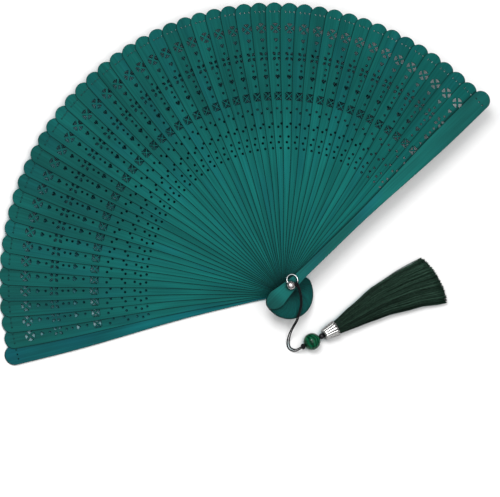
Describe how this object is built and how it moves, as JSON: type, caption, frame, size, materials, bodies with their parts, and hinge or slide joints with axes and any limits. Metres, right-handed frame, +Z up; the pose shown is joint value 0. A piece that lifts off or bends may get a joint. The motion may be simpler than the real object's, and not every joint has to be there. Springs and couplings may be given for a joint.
{
  "type": "hand fan",
  "caption": "Folding hand fan of pierced dyed-bamboo sticks turning on one pin between two plain guards, with a silk tassel on a doubled cord.",
  "frame": {"origin": "on the pin's axis, in the plane of the lower guard's underside that the fan rests on", "axes": "+Z up out of the fan's face, +Y from the pin along the middle of the open fan, +X towards the upper guard"},
  "size_m": [0.3682, 0.2483, 0.026],
  "materials": {
    "guard_bamboo": "satin",
    "blade_bamboo": "satin",
    "thread": "matt",
    "pin_metal": "polished",
    "ring_metal": "polished",
    "cord": "satin",
    "jade": "polished",
    "small_bead": "satin",
    "cap_metal": "polished",
    "silk": "silky"
  },
  "bodies": {
    "lower_guard": {"lower_guard": "guard_bamboo", "tip_thread": "thread"},
    "blade_01": {"blade_01": "blade_bamboo"},
    "blade_02": {"blade_02": "blade_bamboo"},
    "blade_03": {"blade_03": "blade_bamboo"},
    "blade_04": {"blade_04": "blade_bamboo"},
    "blade_05": {"blade_05": "blade_bamboo"},
    "blade_06": {"blade_06": "blade_bamboo"},
    "blade_07": {"blade_07": "blade_bamboo"},
    "blade_08": {"blade_08": "blade_bamboo"},
    "blade_09": {"blade_09": "blade_bamboo"},
    "blade_10": {"blade_10": "blade_bamboo"},
    "blade_11": {"blade_11": "blade_bamboo"},
    "blade_12": {"blade_12": "blade_bamboo"},
    "blade_13": {"blade_13": "blade_bamboo"},
    "blade_14": {"blade_14": "blade_bamboo"},
    "blade_15": {"blade_15": "blade_bamboo"},
    "blade_16": {"blade_16": "blade_bamboo"},
    "blade_17": {"blade_17": "blade_bamboo"},
    "blade_18": {"blade_18": "blade_bamboo"},
    "blade_19": {"blade_19": "blade_bamboo"},
    "blade_20": {"blade_20": "blade_bamboo"},
    "blade_21": {"blade_21": "blade_bamboo"},
    "blade_22": {"blade_22": "blade_bamboo"},
    "blade_23": {"blade_23": "blade_bamboo"},
    "blade_24": {"blade_24": "blade_bamboo"},
    "blade_25": {"blade_25": "blade_bamboo"},
    "blade_26": {"blade_26": "blade_bamboo"},
    "blade_27": {"blade_27": "blade_bamboo"},
    "blade_28": {"blade_28": "blade_bamboo"},
    "blade_29": {"blade_29": "blade_bamboo"},
    "blade_30": {"blade_30": "blade_bamboo"},
    "blade_31": {"blade_31": "blade_bamboo"},
    "blade_32": {"blade_32": "blade_bamboo"},
    "blade_33": {"blade_33": "blade_bamboo"},
    "blade_34": {"blade_34": "blade_bamboo"},
    "blade_35": {"blade_35": "blade_bamboo"},
    "blade_36": {"blade_36": "blade_bamboo"},
    "blade_37": {"blade_37": "blade_bamboo"},
    "blade_38": {"blade_38": "blade_bamboo"},
    "blade_39": {"blade_39": "blade_bamboo"},
    "blade_40": {"blade_40": "blade_bamboo"},
    "blade_41": {"blade_41": "blade_bamboo"},
    "blade_42": {"blade_42": "blade_bamboo"},
    "blade_43": {"blade_43": "blade_bamboo"},
    "blade_44": {"blade_44": "blade_bamboo"},
    "blade_45": {"blade_45": "blade_bamboo"},
    "blade_46": {"blade_46": "blade_bamboo"},
    "upper_guard": {"upper_guard": "guard_bamboo"},
    "hanger": {"pivot_pin": "pin_metal", "back_cap": "pin_metal", "dome_head": "pin_metal", "tassel_ring": "ring_metal", "tassel_cord": "cord", "cord_knot": "cord", "jade_bead": "jade", "small_bead": "small_bead", "tassel_cap": "cap_metal", "tassel_skirt": "silk"}
  },
  "joints": [
    {"name": "fan_fold", "type": "hinge", "parent": "lower_guard", "child": "upper_guard", "pos_m": [0, 0, 0.021], "axis": [0, 0, 1], "range_deg": [0, 151], "deforming": ["tip_thread"]},
    {"name": "blade_01_turn", "type": "hinge", "parent": "lower_guard", "child": "blade_01", "pos_m": [0, 0, 0.002], "axis": [0, 0, 1], "range_deg": [0, 3.22]},
    {"name": "blade_02_turn", "type": "hinge", "parent": "lower_guard", "child": "blade_02", "pos_m": [0, 0, 0.002], "axis": [0, 0, 1], "range_deg": [0, 6.44]},
    {"name": "blade_03_turn", "type": "hinge", "parent": "lower_guard", "child": "blade_03", "pos_m": [0, 0, 0.002], "axis": [0, 0, 1], "range_deg": [0, 9.65]},
    {"name": "blade_04_turn", "type": "hinge", "parent": "lower_guard", "child": "blade_04", "pos_m": [0, 0, 0.002], "axis": [0, 0, 1], "range_deg": [0, 12.86]},
    {"name": "blade_05_turn", "type": "hinge", "parent": "lower_guard", "child": "blade_05", "pos_m": [0, 0, 0.002], "axis": [0, 0, 1], "range_deg": [0, 16.07]},
    {"name": "blade_06_turn", "type": "hinge", "parent": "lower_guard", "child": "blade_06", "pos_m": [0, 0, 0.002], "axis": [0, 0, 1], "range_deg": [0, 19.29]},
    {"name": "blade_07_turn", "type": "hinge", "parent": "lower_guard", "child": "blade_07", "pos_m": [0, 0, 0.002], "axis": [0, 0, 1], "range_deg": [0, 22.5]},
    {"name": "blade_08_turn", "type": "hinge", "parent": "lower_guard", "child": "blade_08", "pos_m": [0, 0, 0.002], "axis": [0, 0, 1], "range_deg": [0, 25.71]},
    {"name": "blade_09_turn", "type": "hinge", "parent": "lower_guard", "child": "blade_09", "pos_m": [0, 0, 0.002], "axis": [0, 0, 1], "range_deg": [0, 28.93]},
    {"name": "blade_10_turn", "type": "hinge", "parent": "lower_guard", "child": "blade_10", "pos_m": [0, 0, 0.002], "axis": [0, 0, 1], "range_deg": [0, 32.14]},
    {"name": "blade_11_turn", "type": "hinge", "parent": "lower_guard", "child": "blade_11", "pos_m": [0, 0, 0.002], "axis": [0, 0, 1], "range_deg": [0, 35.35]},
    {"name": "blade_12_turn", "type": "hinge", "parent": "lower_guard", "child": "blade_12", "pos_m": [0, 0, 0.002], "axis": [0, 0, 1], "range_deg": [0, 38.56]},
    {"name": "blade_13_turn", "type": "hinge", "parent": "lower_guard", "child": "blade_13", "pos_m": [0, 0, 0.002], "axis": [0, 0, 1], "range_deg": [0, 41.78]},
    {"name": "blade_14_turn", "type": "hinge", "parent": "lower_guard", "child": "blade_14", "pos_m": [0, 0, 0.002], "axis": [0, 0, 1], "range_deg": [0, 44.99]},
    {"name": "blade_15_turn", "type": "hinge", "parent": "lower_guard", "child": "blade_15", "pos_m": [0, 0, 0.002], "axis": [0, 0, 1], "range_deg": [0, 48.2]},
    {"name": "blade_16_turn", "type": "hinge", "parent": "lower_guard", "child": "blade_16", "pos_m": [0, 0, 0.002], "axis": [0, 0, 1], "range_deg": [0, 51.41]},
    {"name": "blade_17_turn", "type": "hinge", "parent": "lower_guard", "child": "blade_17", "pos_m": [0, 0, 0.002], "axis": [0, 0, 1], "range_deg": [0, 54.63]},
    {"name": "blade_18_turn", "type": "hinge", "parent": "lower_guard", "child": "blade_18", "pos_m": [0, 0, 0.002], "axis": [0, 0, 1], "range_deg": [0, 57.84]},
    {"name": "blade_19_turn", "type": "hinge", "parent": "lower_guard", "child": "blade_19", "pos_m": [0, 0, 0.002], "axis": [0, 0, 1], "range_deg": [0, 61.05]},
    {"name": "blade_20_turn", "type": "hinge", "parent": "lower_guard", "child": "blade_20", "pos_m": [0, 0, 0.002], "axis": [0, 0, 1], "range_deg": [0, 64.27]},
    {"name": "blade_21_turn", "type": "hinge", "parent": "lower_guard", "child": "blade_21", "pos_m": [0, 0, 0.002], "axis": [0, 0, 1], "range_deg": [0, 67.48]},
    {"name": "blade_22_turn", "type": "hinge", "parent": "lower_guard", "child": "blade_22", "pos_m": [0, 0, 0.002], "axis": [0, 0, 1], "range_deg": [0, 70.69]},
    {"name": "blade_23_turn", "type": "hinge", "parent": "lower_guard", "child": "blade_23", "pos_m": [0, 0, 0.002], "axis": [0, 0, 1], "range_deg": [0, 73.9]},
    {"name": "blade_24_turn", "type": "hinge", "parent": "lower_guard", "child": "blade_24", "pos_m": [0, 0, 0.002], "axis": [0, 0, 1], "range_deg": [0, 77.12]},
    {"name": "blade_25_turn", "type": "hinge", "parent": "lower_guard", "child": "blade_25", "pos_m": [0, 0, 0.002], "axis": [0, 0, 1], "range_deg": [0, 80.33]},
    {"name": "blade_26_turn", "type": "hinge", "parent": "lower_guard", "child": "blade_26", "pos_m": [0, 0, 0.002], "axis": [0, 0, 1], "range_deg": [0, 83.54]},
    {"name": "blade_27_turn", "type": "hinge", "parent": "lower_guard", "child": "blade_27", "pos_m": [0, 0, 0.002], "axis": [0, 0, 1], "range_deg": [0, 86.75]},
    {"name": "blade_28_turn", "type": "hinge", "parent": "lower_guard", "child": "blade_28", "pos_m": [0, 0, 0.002], "axis": [0, 0, 1], "range_deg": [0, 89.97]},
    {"name": "blade_29_turn", "type": "hinge", "parent": "lower_guard", "child": "blade_29", "pos_m": [0, 0, 0.002], "axis": [0, 0, 1], "range_deg": [0, 93.18]},
    {"name": "blade_30_turn", "type": "hinge", "parent": "lower_guard", "child": "blade_30", "pos_m": [0, 0, 0.002], "axis": [0, 0, 1], "range_deg": [0, 96.39]},
    {"name": "blade_31_turn", "type": "hinge", "parent": "lower_guard", "child": "blade_31", "pos_m": [0, 0, 0.002], "axis": [0, 0, 1], "range_deg": [0, 99.61]},
    {"name": "blade_32_turn", "type": "hinge", "parent": "lower_guard", "child": "blade_32", "pos_m": [0, 0, 0.002], "axis": [0, 0, 1], "range_deg": [0, 102.82]},
    {"name": "blade_33_turn", "type": "hinge", "parent": "lower_guard", "child": "blade_33", "pos_m": [0, 0, 0.002], "axis": [0, 0, 1], "range_deg": [0, 106.03]},
    {"name": "blade_34_turn", "type": "hinge", "parent": "lower_guard", "child": "blade_34", "pos_m": [0, 0, 0.002], "axis": [0, 0, 1], "range_deg": [0, 109.24]},
    {"name": "blade_35_turn", "type": "hinge", "parent": "lower_guard", "child": "blade_35", "pos_m": [0, 0, 0.002], "axis": [0, 0, 1], "range_deg": [0, 112.46]},
    {"name": "blade_36_turn", "type": "hinge", "parent": "lower_guard", "child": "blade_36", "pos_m": [0, 0, 0.002], "axis": [0, 0, 1], "range_deg": [0, 115.67]},
    {"name": "blade_37_turn", "type": "hinge", "parent": "lower_guard", "child": "blade_37", "pos_m": [0, 0, 0.002], "axis": [0, 0, 1], "range_deg": [0, 118.88]},
    {"name": "blade_38_turn", "type": "hinge", "parent": "lower_guard", "child": "blade_38", "pos_m": [0, 0, 0.002], "axis": [0, 0, 1], "range_deg": [0, 122.09]},
    {"name": "blade_39_turn", "type": "hinge", "parent": "lower_guard", "child": "blade_39", "pos_m": [0, 0, 0.002], "axis": [0, 0, 1], "range_deg": [0, 125.31]},
    {"name": "blade_40_turn", "type": "hinge", "parent": "lower_guard", "child": "blade_40", "pos_m": [0, 0, 0.002], "axis": [0, 0, 1], "range_deg": [0, 128.52]},
    {"name": "blade_41_turn", "type": "hinge", "parent": "lower_guard", "child": "blade_41", "pos_m": [0, 0, 0.002], "axis": [0, 0, 1], "range_deg": [0, 131.73]},
    {"name": "blade_42_turn", "type": "hinge", "parent": "lower_guard", "child": "blade_42", "pos_m": [0, 0, 0.002], "axis": [0, 0, 1], "range_deg": [0, 134.95]},
    {"name": "blade_43_turn", "type": "hinge", "parent": "lower_guard", "child": "blade_43", "pos_m": [0, 0, 0.002], "axis": [0, 0, 1], "range_deg": [0, 138.16]},
    {"name": "blade_44_turn", "type": "hinge", "parent": "lower_guard", "child": "blade_44", "pos_m": [0, 0, 0.002], "axis": [0, 0, 1], "range_deg": [0, 141.37]},
    {"name": "blade_45_turn", "type": "hinge", "parent": "lower_guard", "child": "blade_45", "pos_m": [0, 0, 0.002], "axis": [0, 0, 1], "range_deg": [0, 144.58]},
    {"name": "blade_46_turn", "type": "hinge", "parent": "lower_guard", "child": "blade_46", "pos_m": [0, 0, 0.002], "axis": [0, 0, 1], "range_deg": [0, 147.8]},
    {"name": "tassel_swing", "type": "hinge", "parent": "upper_guard", "child": "hanger", "pos_m": [0, 0, 0.021], "axis": [0, 0, 1], "range_deg": [0, 20]}
  ],
  "couplings": [
    {"joint": "blade_01_turn", "follows": "fan_fold", "ratio": 0.021277},
    {"joint": "blade_02_turn", "follows": "fan_fold", "ratio": 0.042553},
    {"joint": "blade_03_turn", "follows": "fan_fold", "ratio": 0.06383},
    {"joint": "blade_04_turn", "follows": "fan_fold", "ratio": 0.085106},
    {"joint": "blade_05_turn", "follows": "fan_fold", "ratio": 0.10638},
    {"joint": "blade_06_turn", "follows": "fan_fold", "ratio": 0.12766},
    {"joint": "blade_07_turn", "follows": "fan_fold", "ratio": 0.14894},
    {"joint": "blade_08_turn", "follows": "fan_fold", "ratio": 0.17021},
    {"joint": "blade_09_turn", "follows": "fan_fold", "ratio": 0.19149},
    {"joint": "blade_10_turn", "follows": "fan_fold", "ratio": 0.21277},
    {"joint": "blade_11_turn", "follows": "fan_fold", "ratio": 0.23404},
    {"joint": "blade_12_turn", "follows": "fan_fold", "ratio": 0.25532},
    {"joint": "blade_13_turn", "follows": "fan_fold", "ratio": 0.2766},
    {"joint": "blade_14_turn", "follows": "fan_fold", "ratio": 0.29787},
    {"joint": "blade_15_turn", "follows": "fan_fold", "ratio": 0.31915},
    {"joint": "blade_16_turn", "follows": "fan_fold", "ratio": 0.34043},
    {"joint": "blade_17_turn", "follows": "fan_fold", "ratio": 0.3617},
    {"joint": "blade_18_turn", "follows": "fan_fold", "ratio": 0.38298},
    {"joint": "blade_19_turn", "follows": "fan_fold", "ratio": 0.40425},
    {"joint": "blade_20_turn", "follows": "fan_fold", "ratio": 0.42553},
    {"joint": "blade_21_turn", "follows": "fan_fold", "ratio": 0.44681},
    {"joint": "blade_22_turn", "follows": "fan_fold", "ratio": 0.46808},
    {"joint": "blade_23_turn", "follows": "fan_fold", "ratio": 0.48936},
    {"joint": "blade_24_turn", "follows": "fan_fold", "ratio": 0.51064},
    {"joint": "blade_25_turn", "follows": "fan_fold", "ratio": 0.53192},
    {"joint": "blade_26_turn", "follows": "fan_fold", "ratio": 0.55319},
    {"joint": "blade_27_turn", "follows": "fan_fold", "ratio": 0.57447},
    {"joint": "blade_28_turn", "follows": "fan_fold", "ratio": 0.59574},
    {"joint": "blade_29_turn", "follows": "fan_fold", "ratio": 0.61702},
    {"joint": "blade_30_turn", "follows": "fan_fold", "ratio": 0.6383},
    {"joint": "blade_31_turn", "follows": "fan_fold", "ratio": 0.65957},
    {"joint": "blade_32_turn", "follows": "fan_fold", "ratio": 0.68085},
    {"joint": "blade_33_turn", "follows": "fan_fold", "ratio": 0.70213},
    {"joint": "blade_34_turn", "follows": "fan_fold", "ratio": 0.7234},
    {"joint": "blade_35_turn", "follows": "fan_fold", "ratio": 0.74468},
    {"joint": "blade_36_turn", "follows": "fan_fold", "ratio": 0.76596},
    {"joint": "blade_37_turn", "follows": "fan_fold", "ratio": 0.78723},
    {"joint": "blade_38_turn", "follows": "fan_fold", "ratio": 0.80851},
    {"joint": "blade_39_turn", "follows": "fan_fold", "ratio": 0.82979},
    {"joint": "blade_40_turn", "follows": "fan_fold", "ratio": 0.85106},
    {"joint": "blade_41_turn", "follows": "fan_fold", "ratio": 0.87234},
    {"joint": "blade_42_turn", "follows": "fan_fold", "ratio": 0.89362},
    {"joint": "blade_43_turn", "follows": "fan_fold", "ratio": 0.91489},
    {"joint": "blade_44_turn", "follows": "fan_fold", "ratio": 0.93617},
    {"joint": "blade_45_turn", "follows": "fan_fold", "ratio": 0.95745},
    {"joint": "blade_46_turn", "follows": "fan_fold", "ratio": 0.97872}
  ]
}
